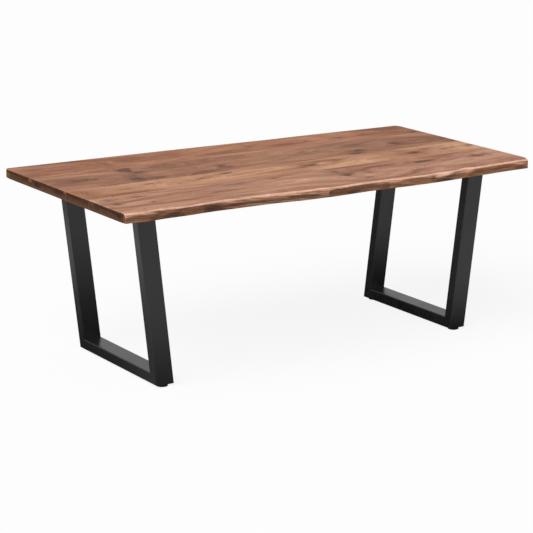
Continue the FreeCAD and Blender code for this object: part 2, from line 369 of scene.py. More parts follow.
def hollow(x, depth_share, seed):
    """How far the surface under the bark is worn in. It fades out at the top and at the underside."""
    down = depth_share * board_thickness
    worn = 0.0
    for half_depth, length, height, downhill, noise_place in HOLLOWS:
        place = Vector(((x + downhill * down) / length, down / height, seed + noise_place))
        worn += half_depth * (1 + field.noise(place))
    return worn * min(1.0, depth_share / fade_in, (1.0 - depth_share) / fade_out)


print("hollows at most", round(2000 * sum(row[0] for row in HOLLOWS), 1), "mm deep")

# %% The live edge as it is measured
edge_depth_shares = (0.01, 0.03, 0.06, 0.09, 0.12, 0.16, 0.20, 0.25, 0.30, 0.36, 0.42, 0.48, 0.54, 0.60,
                     0.66, 0.72, 0.78, 0.84, 0.90, 0.95, 0.98)
ray_start = 0.05


def measured_edge(solid, x, outward, low, high):
    """The live edge's place at one station, from the top down, as rays from outside find it."""
    far_y = (low.y if outward < 0 else high.y) + outward * ray_start
    found = []
    for share in edge_depth_shares:
        z = high.z - share * (high.z - low.z)
        hit = solid.ray_cast(Vector((x, far_y, z)), Vector((0, -outward, 0)))[0]
        found.append((hit.y, z))
    return found


# %% One ring of a live-edge board
top_run = (0.060, 0.030, 0.020, 0.014, 0.010, 0.007, 0.0045, 0.0025)
under_run = (0.0015, 0.004, 0.012, 0.040)
corner_squeeze, squeeze_reach = 0.34, 0.020
corner_pull = 0.5
rounding_passes = 3


def flat_run(crest_y, level_z, runs, outward, middle_z, inset, inset_share):
    """The points of a ring that lie on a broad face, near its live edge."""
    points = []
    for run in runs:
        eased = 1 - corner_squeeze * inset_share * max(0.0, 1 - run / squeeze_reach)
        pulled = inset * (1 - run / top_run[0])
        points.append((crest_y - outward * (run + pulled), middle_z + (level_z - middle_z) * eased))
    return points


def rounded_over(ring):
    """The ring with its bends softened. The seam's corners stay sharp."""
    for _ in range(rounding_passes):
        softened = list(ring)
        for place in range(3, len(ring) - 3):
            before, here, after = ring[place - 1], ring[place], ring[place + 1]
            softened[place] = tuple((before[axis] + 2 * here[axis] + after[axis]) / 4 for axis in (0, 1))
        ring = softened
    return ring


def board_ring(solid, x, outward, low, high, seam_y, seed, inset, inset_share):
    """The closed outline of the board at one station, as (y, z) from the seam over the top."""
    edge = measured_edge(solid, x, outward, low, high)
    middle_z = (low.z + high.z) / 2
    corner = (outward, middle_z, inset, inset_share)
    ring = [(seam_y, high.z)] + flat_run(edge[0][0], high.z, top_run, *corner)
    eased = 1 - corner_squeeze * inset_share
    for (y, z), share in zip(edge, edge_depth_shares):
        pulled = inset * (1 + corner_pull * abs(2 * share - 1) ** 3)
        ring.append((y - outward * (hollow(x, share, seed) + pulled), middle_z + (z - middle_z) * eased))
    ring += flat_run(edge[-1][0], low.z, under_run, *corner)
    return rounded_over(ring + [(seam_y, low.z)])


# %% [markdown]
# The rings are then joined by faces like the hoops of a barrel, and closed at both ends. The first
# and the last ring are a little smaller, which breaks the sawn corner as sandpaper does. The new
# board stands for the frame's solid and rides on the same body.

# %% Faces of a live-edge board


def ring_faces(count, size, outward):
    """The faces between each ring and the next, and one face at each end, all turned outwards."""
    faces = []
    for index in range(count - 1):
        first, second = index * size, (index + 1) * size
        for place in range(size):
            after = (place + 1) % size
            faces.append((first + place, first + after, second + after, second + place))
    faces.append(tuple(range(size - 1, -1, -1)))
    faces.append(tuple(range((count - 1) * size, count * size)))
    return [tuple(reversed(face)) for face in faces] if outward > 0 else faces


# %% Live-edge boards
seam_tolerance = 1e-6
sharp_angle = math.radians(32)


def live_edge_board(name, node, outward, seed):
    """The whole board as a mesh, which stands for the frame's solid."""
    source = nodes[node].data
    solid = BVHTree.FromPolygons([v.co for v in source.vertices], [p.vertices for p in source.polygons])
    low, high = [Vector(corner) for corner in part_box(node)]
    seam_y = high.y if outward < 0 else low.y
    middle_z = (low.z + high.z) / 2
    squeeze = 1 - 2 * end_easing / (high.z - low.z)
    stations = ring_stations(low.x, high.x)
    points = []
    for index, x in enumerate(stations):
        probe = min(max(x, low.x + end_easing), high.x - end_easing)
        rounding = corner_inset(x, low.x, high.x, corner_radii[name])
        ring = board_ring(solid, probe, outward, low, high, seam_y, seed, *rounding)
        if index in (0, len(stations) - 1):
            ring = [(y if abs(y - seam_y) < seam_tolerance else y - outward * end_easing,
                     middle_z + (z - middle_z) * squeeze) for y, z in ring]
        points += [(x, y, z) for y, z in ring]
    mesh = bpy.data.meshes.new(name)
    mesh.from_pydata(points, [], ring_faces(len(stations), len(ring), outward))
    mesh.polygons.foreach_set("use_smooth", [True] * len(mesh.polygons))
    mesh.set_sharp_from_angle(angle=sharp_angle)
    piece = bpy.data.objects.new(name, mesh)
    bpy.context.scene.collection.objects.link(piece)
    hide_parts(node)
    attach(piece, "table")
    print(name, len(mesh.vertices), "points", len(mesh.polygons), "faces")
    return piece


front_live_board = live_edge_board("front_live_edge_board", "front_board", -1, 2.0)
rear_live_board = live_edge_board("rear_live_edge_board", "rear_board", 1, 31.0)

# %% [markdown]
# Handling rubs the corners of a piece first, and paint and oil lie thinner there. The Bevel node
# rounds the shading normal near corners, so where it departs from the true normal there is a
# corner. The group turns that into a mask and breaks it up, and every finish uses it. On the wood
# the paler corners are also a painted highlight along the arrises.

# %% Edge wear group
on_flat, on_corner = 0.995, 0.86
patch_scale, kept_below, bare_above = 55.0, 0.42, 0.62

corner_wear_and_highlight, taken, given = start_group(
    "Edge wear", [("Place", "Vector"), ("Reach", "Float"), ("Patchiness", "Float")], [("Wear", "Float")])
rounded = add_node(corner_wear_and_highlight, "Bevel", {"Radius": taken["Reach"]}, samples=6).outputs[0]
true_normal = add_node(corner_wear_and_highlight, "NewGeometry").outputs["Normal"]
agreement = vector_measure(corner_wear_and_highlight, "DOT_PRODUCT", rounded, true_normal)
near_corner = rescale(corner_wear_and_highlight, agreement, on_flat, on_corner, smooth=True)
patches = noise(corner_wear_and_highlight, taken["Place"], patch_scale, 4.0, 0.6)
broken = rescale(corner_wear_and_highlight, patches, kept_below, bare_above)
kept = times(corner_wear_and_highlight, minus(corner_wear_and_highlight, 1.0, broken), taken["Patchiness"])
give(corner_wear_and_highlight, given, Wear=times(corner_wear_and_highlight, near_corner, minus(corner_wear_and_highlight, 1.0, kept)))

# %% [markdown]
# Sprayed, moulded and plated surfaces are never quite even. This group gives a soft cloudiness and
# a fine grit, each at a size that the finish chooses.

# %% Mottle group
mottle, taken, given = start_group(
    "Mottle", [("Place", "Vector"), ("Cloud Scale", "Float"), ("Grit Scale", "Float")],
    [("Cloud", "Float"), ("Grit", "Float")])
cloud = noise(mottle, taken["Place"], taken["Cloud Scale"], 3.0, 0.55)
grit = noise(mottle, taken["Place"], taken["Grit Scale"], 2.0, 0.6)
give(mottle, given, Cloud=rescale(mottle, cloud, 0.3, 0.7), Grit=rescale(mottle, grit, 0.3, 0.7))

# %% [markdown]
# A board is cut from a trunk, so its grain is the trunk's rings seen as long lines. The figure
# group measures how far a point lies from the trunk's heart, bends that with slow waves and with
# the swelling round each knot, and reads streaks, fibres and pores along it. The end grain then
# shows the same rings as arcs.

# %% Wood figure group
# Each layer: how often it changes along the board and across the rings, its detail and roughness,
# and the part of the noise that is stretched to 0..1.
FIGURE_LAYERS = {
    "broad": (1.1, 17.0, 2.0, 0.55, 0.32, 0.68), "middle": (2.6, 52.0, 3.0, 0.55, 0.32, 0.68),
    "streak": (5.0, 210.0, 3.0, 0.65, 0.3, 0.7), "fibre": (18.0, 1300.0, 2.0, 0.6, 0.3, 0.7),
    "pores": (70.0, 900.0, 1.0, 0.55, 0.62, 0.7),
}
wood_figure, taken, given = start_group(
    "Wood figure",
    [("Place", "Vector"), ("Bend", "Float"), ("Heart Y", "Float"), ("Heart Z", "Float"), ("Seed", "Float")],
    [("Tone", "Float"), ("Streak", "Float"), ("Fibre", "Float"), ("Pores", "Float")])
tree = wood_figure
axes = axes_of(tree, taken["Place"])
along = plus(tree, axes["X"], taken["Seed"])


def long_noise(along_scale, across_value, across_scale, detail, roughness=0.55):
    """Noise drawn out along the board."""
    place = place_from(tree, times(tree, along, along_scale), times(tree, across_value, across_scale),
                       taken["Seed"])
    return noise(tree, place, 1.0, detail, roughness)


def grain_wave(along_scale, across_scale, detail, height):
    """A bend of the rings along the board."""
    return times(tree, minus(tree, long_noise(along_scale, axes["Y"], across_scale, detail), 0.5), height)


waves = plus(tree, grain_wave(1.3, 5.0, 1.0, 0.16), grain_wave(6.0, 22.0, 2.0, 0.014))
off_heart = [minus(tree, axes["Y"], taken["Heart Y"]), minus(tree, axes["Z"], taken["Heart Z"])]
off_squared = [calc(tree, "POWER", calc(tree, "ABSOLUTE", off), 2.0) for off in off_heart]
from_heart = calc(tree, "SQRT", plus(tree, *off_squared))
ring = plus(tree, plus(tree, from_heart, taken["Bend"]), waves)
figure = {}
for name, (along_scale, across_scale, detail, roughness, low, high) in FIGURE_LAYERS.items():
    lines = long_noise(along_scale, ring, across_scale, detail, roughness)
    figure[name] = rescale(tree, lines, low, high)
tone = plus(tree, times(tree, figure["broad"], 0.5), times(tree, figure["middle"], 0.5))
give(tree, given, Tone=tone, Streak=figure["streak"], Fibre=figure["fibre"], Pores=figure["pores"])

# %% [markdown]
# A knot is the foot of a branch. The grain swells round it, its middle is dark, a stained halo fades
# out along the board, and fine rings circle it. One group works out the swelling for an oval place on
# the board, and a second one the stain, which also serves for soft marks and pale sapwood.

# %% Knot groups
hill_steepness = -0.35
circle_frequency = 15.0
core_span, halo_span, circle_span = (1.15, 0.15), (2.6, 0.3), (2.0, 0.7)


def start_oval_group(name, inputs, outputs):
    """A group that begins with the squared distance from an oval's middle, as 1 on its outline."""
    oval = [("Place", "Vector"), ("Middle X", "Float"), ("Middle Y", "Float"), ("Half Length", "Float"),
            ("Half Width", "Float")]
    group, taken, given = start_group(name, oval + inputs, outputs)
    axes = axes_of(group, taken["Place"])
    squared = 0.0
    for axis, middle, half in (("X", "Middle X", "Half Length"), ("Y", "Middle Y", "Half Width")):
        off = calc(group, "DIVIDE", minus(group, axes[axis], taken[middle]), taken[half])
        squared = plus(group, times(group, off, off), squared)
    return group, squared, taken, given


swelling_round_knot, squared, taken, given = start_oval_group(
    "Swelling round a knot", [("Swelling", "Float")], [("Bend", "Float")])
hill = calc(swelling_round_knot, "EXPONENT", times(swelling_round_knot, squared, hill_steepness))
give(swelling_round_knot, given, Bend=times(swelling_round_knot, hill, taken["Swelling"]))

knot, squared, taken, given = start_oval_group(
    "Knot stain", [], [("Core", "Float"), ("Halo", "Float"), ("Rings", "Float")])
distance = calc(knot, "SQRT", squared)
circles = rescale(knot, calc(knot, "SINE", times(knot, distance, circle_frequency)), -1.0, 1.0)
give(knot, given,
     Core=rescale(knot, distance, *core_span, smooth=True),
     Halo=rescale(knot, distance, *halo_span, smooth=True),
     Rings=times(knot, circles, rescale(knot, distance, *circle_span, smooth=True)))
print("node groups", [group.name for group in bpy.data.node_groups])

# %% [markdown]
# The four boards differ as they do in the photograph: reddish at the rear, then a darker board with
# the largest knots, then a lighter golden one, then a pinkish one with the live edge. Their marks are
# listed one by one, because scattered ones wouldn't lie where the photograph has them. A mark is
# its middle from the left end and from the centre line, its half length and half width, its swelling,
# its kind, and how strongly it shows. A mark without swelling lies straight along the grain.

# %% Kinds of mark
left_end = cad_low[0]
MARK_COLOURS = colour_pairs(
    dark=((38, 18, 7), (100, 59, 36)), ink=((28, 16, 9), (82, 56, 42)),
    grey=((56, 34, 24), (113, 75, 53)), green=((52, 38, 12), (120, 85, 44)),
    red=((90, 40, 26), (138, 80, 55)), pale=((212, 163, 126), (199, 149, 115)))
print("kinds of mark", sorted(MARK_COLOURS))

# %% Marks on the two rear boards
rear_marks = (
    (0.385, 0.370, 0.008, 0.036, 0.006, "dark", 0.7), (0.425, 0.385, 0.014, 0.026, 0.004, "pale", 0.3),
    (1.096, 0.385, 0.030, 0.018, 0.012, "dark", 0.7), (0.740, 0.360, 0.060, 0.014, 0.004, "red", 0.5),
    (1.386, 0.340, 0.014, 0.008, 0.005, "dark", 0.9), (1.570, 0.342, 0.020, 0.010, 0.006, "dark", 1.0),
    (1.695, 0.345, 0.022, 0.012, 0.006, "dark", 0.9), (1.925, 0.270, 0.030, 0.014, 0.004, "dark", 0.9),
    (0.080, 0.415, 0.070, 0.024, 0.004, "grey", 0.4), (0.130, 0.276, 0.110, 0.006, 0.0, "pale", 0.55),
    (1.080, 0.258, 0.190, 0.008, 0.0, "pale", 0.45), (1.790, 0.420, 0.110, 0.014, 0.0, "red", 0.6),
    (1.700, 0.330, 0.100, 0.018, 0.0, "red", 0.5), (0.180, 0.360, 0.120, 0.010, 0.0, "red", 0.5),
)
rear_inner_marks = (
    (0.170, 0.140, 0.018, 0.012, 0.010, "green", 1.0), (0.205, 0.122, 0.018, 0.014, 0.016, "green", 1.0),
    (0.150, 0.125, 0.080, 0.026, 0.004, "grey", 0.5), (0.390, 0.208, 0.020, 0.044, 0.022, "dark", 0.9),
    (0.425, 0.150, 0.016, 0.018, 0.004, "dark", 0.8), (0.540, 0.212, 0.040, 0.018, 0.004, "grey", 0.4),
    (0.352, 0.040, 0.044, 0.034, 0.024, "ink", 1.0), (0.440, 0.022, 0.060, 0.014, 0.0, "dark", 0.7),
    (0.220, 0.024, 0.080, 0.014, 0.0, "grey", 0.5), (0.375, 0.110, 0.018, 0.040, 0.010, "grey", 0.6),
    (0.775, 0.090, 0.018, 0.024, 0.018, "ink", 1.0), (0.805, 0.050, 0.034, 0.016, 0.004, "red", 0.9),
    (1.412, 0.006, 0.030, 0.013, 0.012, "dark", 1.0), (1.452, 0.050, 0.034, 0.024, 0.018, "grey", 0.9),
    (1.465, 0.082, 0.018, 0.007, 0.004, "pale", 0.5), (1.490, 0.165, 0.060, 0.030, 0.004, "grey", 0.5),
    (1.230, 0.110, 0.090, 0.030, 0.004, "green", 0.4), (1.225, 0.145, 0.024, 0.008, 0.004, "dark", 0.6),
    (1.692, 0.098, 0.034, 0.026, 0.016, "dark", 0.9), (1.940, 0.014, 0.034, 0.012, 0.004, "dark", 1.0),
    (1.550, 0.025, 0.050, 0.010, 0.0, "grey", 0.4), (0.080, 0.060, 0.070, 0.008, 0.0, "red", 0.5),
)
print("rear marks", len(rear_marks), len(rear_inner_marks))

# %% Marks on the two front boards
front_inner_marks = (
    (0.350, -0.068, 0.026, 0.009, 0.004, "red", 0.8), (0.560, -0.100, 0.070, 0.009, 0.003, "red", 0.8),
    (0.715, -0.055, 0.034, 0.012, 0.010, "dark", 1.0), (0.620, -0.078, 0.080, 0.008, 0.0, "red", 0.7),
    (1.100, -0.100, 0.034, 0.017, 0.016, "green", 1.0), (1.112, -0.106, 0.022, 0.009, 0.004, "ink", 1.0),
    (1.172, -0.096, 0.022, 0.014, 0.0, "pale", 0.9), (1.625, -0.112, 0.050, 0.026, 0.016, "red", 1.0),
    (1.630, -0.122, 0.026, 0.012, 0.004, "dark", 0.9), (1.715, -0.072, 0.040, 0.014, 0.002, "dark", 0.7),
    (1.790, -0.112, 0.024, 0.010, 0.006, "ink", 0.9), (1.850, -0.104, 0.020, 0.009, 0.006, "dark", 1.0),
    (1.945, -0.108, 0.030, 0.018, 0.004, "ink", 1.0), (0.230, -0.102, 0.060, 0.006, 0.0, "red", 0.6),
    (0.300, -0.026, 0.220, 0.005, 0.0, "pale", 0.7), (0.220, -0.196, 0.190, 0.005, 0.0, "pale", 0.7),
    (1.700, -0.030, 0.130, 0.007, 0.0, "pale", 0.5), (1.350, -0.160, 0.150, 0.024, 0.0, "pale", 0.6),
    (1.420, -0.080, 0.090, 0.022, 0.0, "pale", 0.5), (0.960, -0.120, 0.120, 0.006, 0.0, "red", 0.4),
)
front_marks = (
    (0.062, -0.246, 0.034, 0.022, 0.010, "grey", 0.6), (0.185, -0.246, 0.034, 0.022, 0.010, "grey", 0.7),
    (0.066, -0.318, 0.020, 0.012, 0.006, "green", 1.0), (0.195, -0.352, 0.024, 0.009, 0.006, "dark", 1.0),
    (0.640, -0.252, 0.080, 0.024, 0.004, "grey", 0.5), (0.822, -0.245, 0.020, 0.010, 0.004, "dark", 0.8),
    (0.560, -0.338, 0.100, 0.006, 0.0, "red", 0.6), (1.100, -0.262, 0.018, 0.022, 0.010, "grey", 0.8),
    (1.118, -0.345, 0.022, 0.034, 0.016, "grey", 1.0), (1.220, -0.344, 0.026, 0.014, 0.006, "dark", 0.8),
    (1.155, -0.425, 0.020, 0.020, 0.006, "grey", 0.7), (1.510, -0.286, 0.034, 0.014, 0.012, "ink", 1.0),
    (1.550, -0.280, 0.040, 0.009, 0.004, "dark", 0.9), (1.820, -0.306, 0.040, 0.018, 0.004, "dark", 0.9),
    (1.875, -0.290, 0.036, 0.012, 0.004, "grey", 0.8), (1.425, -0.420, 0.024, 0.016, 0.004, "grey", 0.6),
    (1.350, -0.278, 0.036, 0.008, 0.0, "grey", 0.5), (0.300, -0.395, 0.080, 0.006, 0.0, "red", 0.5),
    (0.280, -0.300, 0.140, 0.005, 0.0, "red", 0.4), (1.690, -0.240, 0.080, 0.014, 0.0, "red", 0.5),
)
print("front marks", len(front_inner_marks), len(front_marks))

# %% [markdown]
# The face under the bark has marks of its own: scoops with a dark or brown bottom, streaks that the
# bark left, and a few pale flats; the nearly white one near the shoulder is a painted highlight. They
# are listed like the others, but their middle is given down from the top. The sawn ends have such
# marks as well, given from the centre line and down.

# %% Marks on the live edge
top_z = cad_high[2]
EDGE_COLOURS = colour_pairs(
    dark=((80, 54, 47), (92, 64, 53)), streak=((104, 71, 50), (118, 82, 62)),
    brown=((182, 128, 94), (172, 121, 90)), umber=((152, 107, 80), (138, 96, 70)),
    golden=((184, 132, 98), (170, 122, 92)), red=((112, 62, 50), (136, 88, 68)),
    # The pale edge colour is a painted highlight on a facet that catches the light.
    pale=((255, 228, 214), (236, 190, 166)))
front_edge_marks = (
    (0.080, 0.031, 0.080, 0.016, "umber", 0.9), (0.286, 0.040, 0.150, 0.034, "streak", 1.0),
    (0.298, 0.034, 0.054, 0.022, "brown", 0.6), (0.385, 0.029, 0.034, 0.013, "dark", 0.9),
    (0.205, 0.035, 0.040, 0.013, "dark", 0.7), (0.520, 0.021, 0.080, 0.004, "streak", 0.9),
    (0.640, 0.026, 0.070, 0.004, "streak", 0.8), (0.560, 0.030, 0.100, 0.004, "golden", 0.5),
    (0.770, 0.019, 0.044, 0.005, "streak", 1.0), (0.820, 0.026, 0.036, 0.004, "streak", 0.8),
    (0.912, 0.026, 0.010, 0.011, "dark", 1.0), (0.950, 0.012, 0.028, 0.003, "dark", 0.8),
    (0.985, 0.029, 0.040, 0.007, "streak", 1.0), (1.050, 0.040, 0.125, 0.029, "umber", 1.0),
    (1.020, 0.028, 0.026, 0.007, "dark", 0.8), (1.180, 0.022, 0.016, 0.010, "streak", 0.7),
    (1.325, 0.040, 0.095, 0.028, "brown", 0.8), (1.270, 0.033, 0.044, 0.005, "streak", 0.7),
    # The pale mark at 1.463 is a painted highlight on a facet near the shoulder.
    (1.415, 0.019, 0.009, 0.008, "streak", 0.6), (1.463, 0.009, 0.030, 0.007, "pale", 0.9),
    (1.470, 0.033, 0.034, 0.006, "dark", 0.9), (1.528, 0.017, 0.009, 0.007, "red", 0.6),
    (1.552, 0.024, 0.026, 0.008, "golden", 0.8), (1.598, 0.030, 0.010, 0.008, "streak", 0.9),
    (1.750, 0.042, 0.150, 0.031, "brown", 1.0), (1.660, 0.026, 0.040, 0.008, "umber", 0.6),
    (1.903, 0.030, 0.024, 0.008, "red", 1.0), (1.790, 0.020, 0.050, 0.003, "streak", 0.7),
)
print("edge marks", len(front_edge_marks))

# %% Marks on the sawn ends
END_COLOURS = colour_pairs(
    dark=((34, 15, 7), (58, 34, 20)), red=((58, 26, 14), (72, 42, 26)),
    pale=((158, 118, 88), (120, 86, 60)))
end_marks = (
    (0.440, 0.009, 0.075, 0.004, "red", 1.0), (0.330, 0.010, 0.035, 0.005, "red", 1.0),
    (0.283, 0.010, 0.012, 0.008, "pale", 0.8), (0.228, 0.016, 0.024, 0.010, "dark", 1.0),
    (0.150, 0.008, 0.060, 0.005, "red", 0.8), (0.045, 0.012, 0.030, 0.008, "dark", 0.8),
    (-0.012, 0.006, 0.008, 0.004, "pale", 0.8), (-0.090, 0.010, 0.060, 0.005, "red", 1.0),
    (-0.225, 0.010, 0.012, 0.005, "pale", 0.3), (-0.320, 0.009, 0.060, 0.004, "red", 1.0),
    (-0.400, 0.010, 0.040, 0.005, "dark", 0.7), (-0.437, 0.014, 0.012, 0.007, "dark", 1.0),
)
print("end marks", len(end_marks))

# %% [markdown]
# One recipe finishes all four boards. First the marks bend the figure and stain it. A stain sinks
# into the soft streaks more than the hard ones, so each one is broken up by the figure. Outlines
# laid out by numbers would look drawn, so noise shifts every place a little before it is used.

# %% Places that wander and grain that bends


def unsteady(tree, place, scale, amounts, detail=3.0):
    """A wandering shift of a place, so that outlines laid out by numbers look torn or grown."""
    clouds = add_node(tree, "TexNoise", {"Vector": place, "Scale": scale, "Detail": detail}).outputs["Color"]
    return vector_calc(tree, "MULTIPLY", vector_calc(tree, "SUBTRACT", clouds, (0.5, 0.5, 0.5)), amounts)


def bend_round_knots(tree, place, marks):
    """How far all the knots together push the rings aside."""
    bend = 0.0
    for from_left, y, half_length, half_width, swelling, *_ in marks:
        if swelling:
            round_knot = use_group(
                tree, swelling_round_knot, Place=place, Middle_X=left_end + from_left, Middle_Y=y,
                Half_Length=half_length, Half_Width=half_width, Swelling=swelling)
            bend = plus(tree, round_knot["Bend"], bend)
    return bend


# %% Stains of a board
halo_strength, knot_strength, line_strength = 0.85, 0.9, 0.7
circle_shade = 0.72
hard_wood, soft_wood, least_thirst = 0.65, 0.30, 0.45


def stained(tree, colour, level, ragged, straight, marks):
    """The figured colour with each mark's halo and core laid over it."""
    thirst = rescale(tree, level, hard_wood, soft_wood, least_thirst, 1.0)
    for from_left, y, half_length, half_width, swelling, kind, strength in marks:
        mark = use_group(tree, knot, Place=ragged if swelling else straight, Middle_X=left_end + from_left,
                         Middle_Y=y, Half_Length=half_length, Half_Width=half_width)
        core, halo = MARK_COLOURS[kind]
        soaked = times(tree, mark["Halo"], times(tree, thirst, halo_strength * strength))
        colour = blend_colours(tree, soaked, colour, halo)
        middle = times(tree, mark["Core"], strength * (knot_strength if swelling else line_strength))
        if swelling:
            middle = times(tree, middle, rescale(tree, mark["Rings"], 0.0, 1.0, 1.0, circle_shade))
        colour = blend_colours(tree, middle, colour, core)
    return colour


# %% Figured colour of a board
coarse_wander, fine_wander = (24.0, (0.10, 0.030, 0.0)), (120.0, (0.05, 0.012, 0.0))
straight_share = (1.0, 0.35, 0.0)
tone_share, streak_share = 0.74, 0.26
dark_below, plain_at, light_above = 0.20, 0.50, 0.80


def figured_colour(tree, place, tones, heart, seed, marks):
    """The board's colour on its broad faces, and the figure that other parts of the recipe share."""
    shift = unsteady(tree, place, *coarse_wander)
    tremble = unsteady(tree, place, *fine_wander, detail=2.0)
    straight = vector_calc(tree, "ADD", place, vector_calc(tree, "MULTIPLY", shift, straight_share))
    ragged = vector_calc(tree, "ADD", vector_calc(tree, "ADD", place, shift), tremble)
    figure = use_group(tree, wood_figure, Place=place, Bend=bend_round_knots(tree, ragged, marks),
                       Heart_Y=heart[0], Heart_Z=heart[1], Seed=seed)
    level = plus(tree, times(tree, figure["Tone"], tone_share), times(tree, figure["Streak"], streak_share))
    dark, plain, light = [screen_colour(*tone) for tone in tones]
    colour = blend_colours(tree, rescale(tree, level, dark_below, plain_at), dark, plain)
    colour = blend_colours(tree, rescale(tree, level, plain_at, light_above), colour, light)
    return stained(tree, colour, level, ragged, straight, marks), figure, level


# %% [markdown]
# The sawn ends drink more oil and turn dark. They show the rings as arcs with open pores, saw marks
# across them, and a darker band under the top corner where the oil ran over. Sapwood stays paler
# next to the live edge. Marks there have crisper outlines than on the sanded top.

# %% Crisp marks
outline_span = (0.55, 0.69)


def placed_marks(tree, colour, place, marks, colours, start=0.0, reach=0.85):
    """Stains a colour with marks whose outlines are fairly crisp, as on cut or torn wood."""
    for across, down, half_length, half_height, kind, strength in marks:
        mark = use_group(tree, knot, Place=place, Middle_X=start + across, Middle_Y=down,
                         Half_Length=half_length, Half_Width=half_height)
        core, halo = colours[kind]
        tinted = blend_colours(tree, mark["Core"], halo, core)
        spread = rescale(tree, mark["Halo"], *outline_span, smooth=True)
        colour = blend_colours(tree, times(tree, spread, reach * strength), colour, tinted)
    return colour


# %% End grain
arc_dark, arc_light = screen_colour(60, 35, 20), screen_colour(92, 60, 38)
pore_scale, saw_scale, sapwood_scale = 700.0, (220.0, 18.0), 60.0
end_wander = (70.0, (0.030, 0.006, 0.0))
# Each layer: its colour, and how strongly it covers what lies under it.
END_LAYERS = {
    "pores": (screen_colour(36, 22, 14), 0.50), "saw marks": (screen_colour(122, 86, 58), 0.22),
    "oil band": (screen_colour(56, 29, 17), 0.55), "lower half": (screen_colour(112, 80, 54), 0.40),
    "sapwood": (screen_colour(122, 88, 46), 0.75),
}


def end_grain_colour(tree, place, level, outward, low_y, high_y):
    """The colour of a sawn end. Outward is the side of the sapwood, or 0 for a board without any."""
    axes = axes_of(tree, place)
    down = minus(tree, top_z, axes["Z"])
    saw_place = place_from(tree, times(tree, axes["Y"], saw_scale[0]), times(tree, axes["Z"], saw_scale[1]))
    covers = {
        "pores": rescale(tree, noise(tree, place, pore_scale, 2.0), 0.52, 0.66),
        "saw marks": rescale(tree, noise(tree, saw_place, 1.0, 2.0), 0.40, 0.60),
        "oil band": times(tree, rescale(tree, down, 0.019, 0.010, smooth=True),
                          rescale(tree, down, 0.001, 0.003)),
        "lower half": rescale(tree, down, 0.020, 0.032, smooth=True),
    }
    if outward:
        wave = times(tree, noise(tree, place, sapwood_scale, 2.0), 0.02)
        wavy = plus(tree, times(tree, axes["Y"], outward), wave)
        covers["sapwood"] = rescale(tree, wavy, 0.470, 0.486, smooth=True)
    colour = blend_colours(tree, rescale(tree, level, 0.25, 0.75), arc_dark, arc_light)
    for layer, cover in covers.items():
        layer_colour, strength = END_LAYERS[layer]
        colour = blend_colours(tree, times(tree, cover, strength), colour, layer_colour)
    moved = unsteady(tree, place, *end_wander)
    end_place = vector_calc(tree, "ADD", place_from(tree, axes["Y"], down), moved)
    own_marks = [mark for mark in end_marks if low_y < mark[0] < high_y]
    return placed_marks(tree, colour, end_place, own_marks, END_COLOURS)


# %% [markdown]
# Along the live edge the shoulder is painted pale as a highlight: the thin line of light that its
# rounded arris catches. Below it the bevel keeps the board's brown, and the face that lay under the
# bark is darker, with streaks that run a little downhill. That darker face is partly its own
# bark-side wood and partly painted shade of a face turned down.

# %% Live edge colour
pale_low, pale_high = screen_colour(166, 120, 95), screen_colour(226, 176, 150)
brown_low, brown_high = screen_colour(112, 79, 60), screen_colour(190, 142, 115)
shade, light_streak = screen_colour(120, 112, 108), screen_colour(214, 210, 206)
# A painted highlight: the pale shoulder colour stands for the light caught by the rounded arris.
painted_shoulder_highlight, lower_corner = screen_colour(236, 188, 162), screen_colour(150, 116, 66)
edge_wander = (60.0, (0.030, 0.007, 0.0))
streaks_along, streaks_down, streaks_downhill = 9.0, 190.0, 0.10


def live_edge_colour(tree, place, facing, board_colour, underside_z, marks):
    """The colour along a live edge, from the shoulder down to the underside."""
    axes = axes_of(tree, place)
    down = minus(tree, top_z, axes["Z"])
    depth = calc(tree, "DIVIDE", down, top_z - underside_z)
    across = minus(tree, down, times(tree, axes["X"], streaks_downhill))
    slanted = place_from(tree, times(tree, axes["X"], streaks_along), times(tree, across, streaks_down))
    streaks = rescale(tree, noise(tree, slanted, 1.0, 3.0, 0.6), 0.38, 0.62)
    broad_waves = times(tree, minus(tree, noise(tree, place, 9.0, 2.0), 0.5), 0.7)
    # Darker with depth: partly the bark-side wood, partly painted shade of the face turned down.
    bark_side_and_painted_shade = rescale(tree, plus(tree, depth, broad_waves), 0.26, 0.56, smooth=True)
    colour = blend_colours(tree, bark_side_and_painted_shade, blend_colours(tree, streaks, pale_low, pale_high),
                           blend_colours(tree, streaks, brown_low, brown_high))
    moved = unsteady(tree, place, *edge_wander)
    edge_place = vector_calc(tree, "ADD", place_from(tree, axes["X"], down), moved)
    colour = placed_marks(tree, colour, edge_place, marks, EDGE_COLOURS, left_end)
    streak_shade = blend_colours(tree, streaks, shade, light_streak)
    colour = blend_colours(tree, 0.5, colour, streak_shade, "SOFT_LIGHT")
    # Painted highlight along the shoulder, broken up by noise.
    shoulder_highlight_share = times(tree, rescale(tree, depth, 0.20, 0.08, smooth=True),
                        rescale(tree, noise(tree, place, 14.0, 2.0), 0.3, 0.6, 0.5, 1.0))
    colour = blend_colours(tree, shoulder_highlight_share, colour, painted_shoulder_highlight)
    by_underside = times(tree, rescale(tree, depth, 0.94, 0.99), 0.6)
    colour = blend_colours(tree, by_underside, colour, lower_corner)
    sideways = rescale(tree, calc(tree, "ABSOLUTE", facing["Y"]), 0.10, 0.30, smooth=True)
    on_edge = times(tree, sideways, rescale(tree, facing["Z"], -0.8, -0.5))
    return blend_colours(tree, on_edge, board_colour, colour)


# %% [markdown]
# The whole finish puts these colours together. Fibres and pores roughen the oil's soft sheen and
# lift the surface a little, and the corners are paler, partly rubbed and partly a painted highlight.

# %% Oiled wood
pore_brown, rubbed_wood_and_highlight = screen_colour(70, 42, 28), screen_colour(206, 158, 126)
wood_wear_and_highlight = {"Reach": 0.003, "Patchiness": 0.6}
fibre_dark, fibre_light = 0.79, 1.16
pore_strength, rub_and_highlight_strength = 0.35, 0.50
oil_smooth, oil_rough, rougher_end = 0.50, 0.70, 0.15
relief_depth = 0.0003


